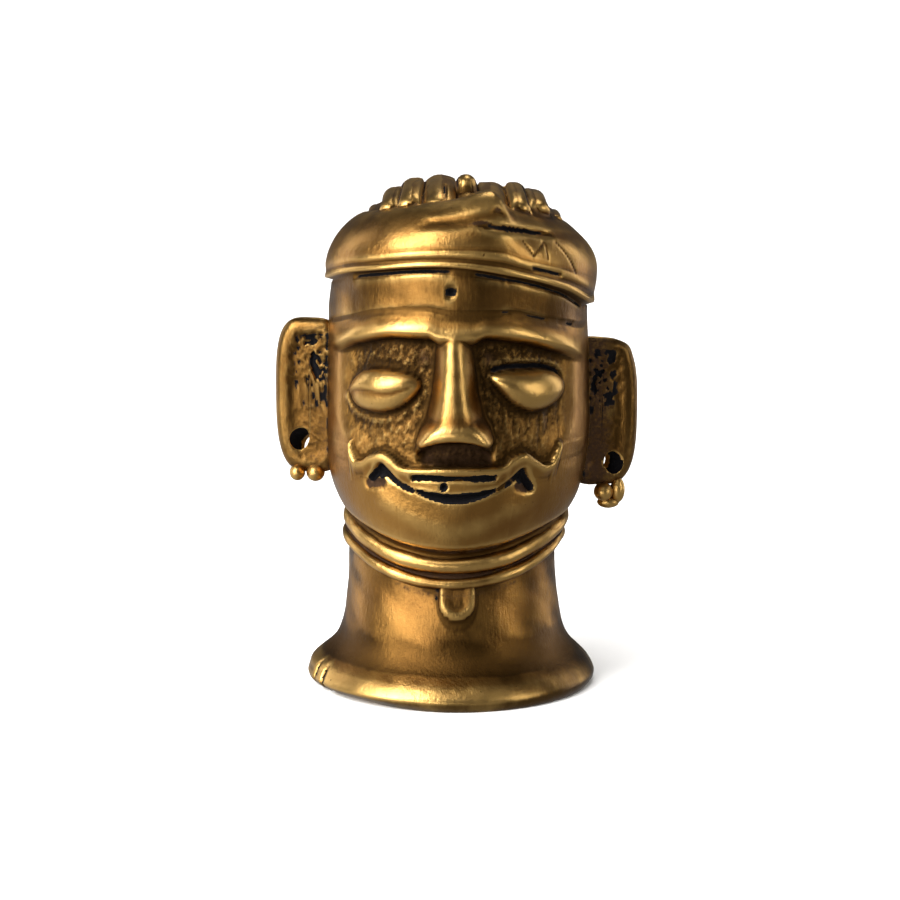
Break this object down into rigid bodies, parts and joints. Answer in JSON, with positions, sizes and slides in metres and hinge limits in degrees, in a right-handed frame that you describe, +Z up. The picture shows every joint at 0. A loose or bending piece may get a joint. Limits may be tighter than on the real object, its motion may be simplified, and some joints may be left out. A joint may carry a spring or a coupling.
{
  "type": "mukhalinga",
  "caption": "Hollow cast brass head with a bound turban, combed locks, pierced ears, curled moustache, corded neck and flared foot, open below to slip over a linga.",
  "frame": {"origin": "on the floor, under the middle of the box round the casting", "axes": "+Z up, the face looks along -Y, +X is on the viewer's right when the face is looked at"},
  "size_m": [0.0774, 0.0652, 0.1101],
  "materials": {
    "brass": "aged cast brass, polished by handling on the high places, dark in the recesses"
  },
  "bodies": {
    "root": {"mukhalinga": "brass"}
  },
  "joints": []
}
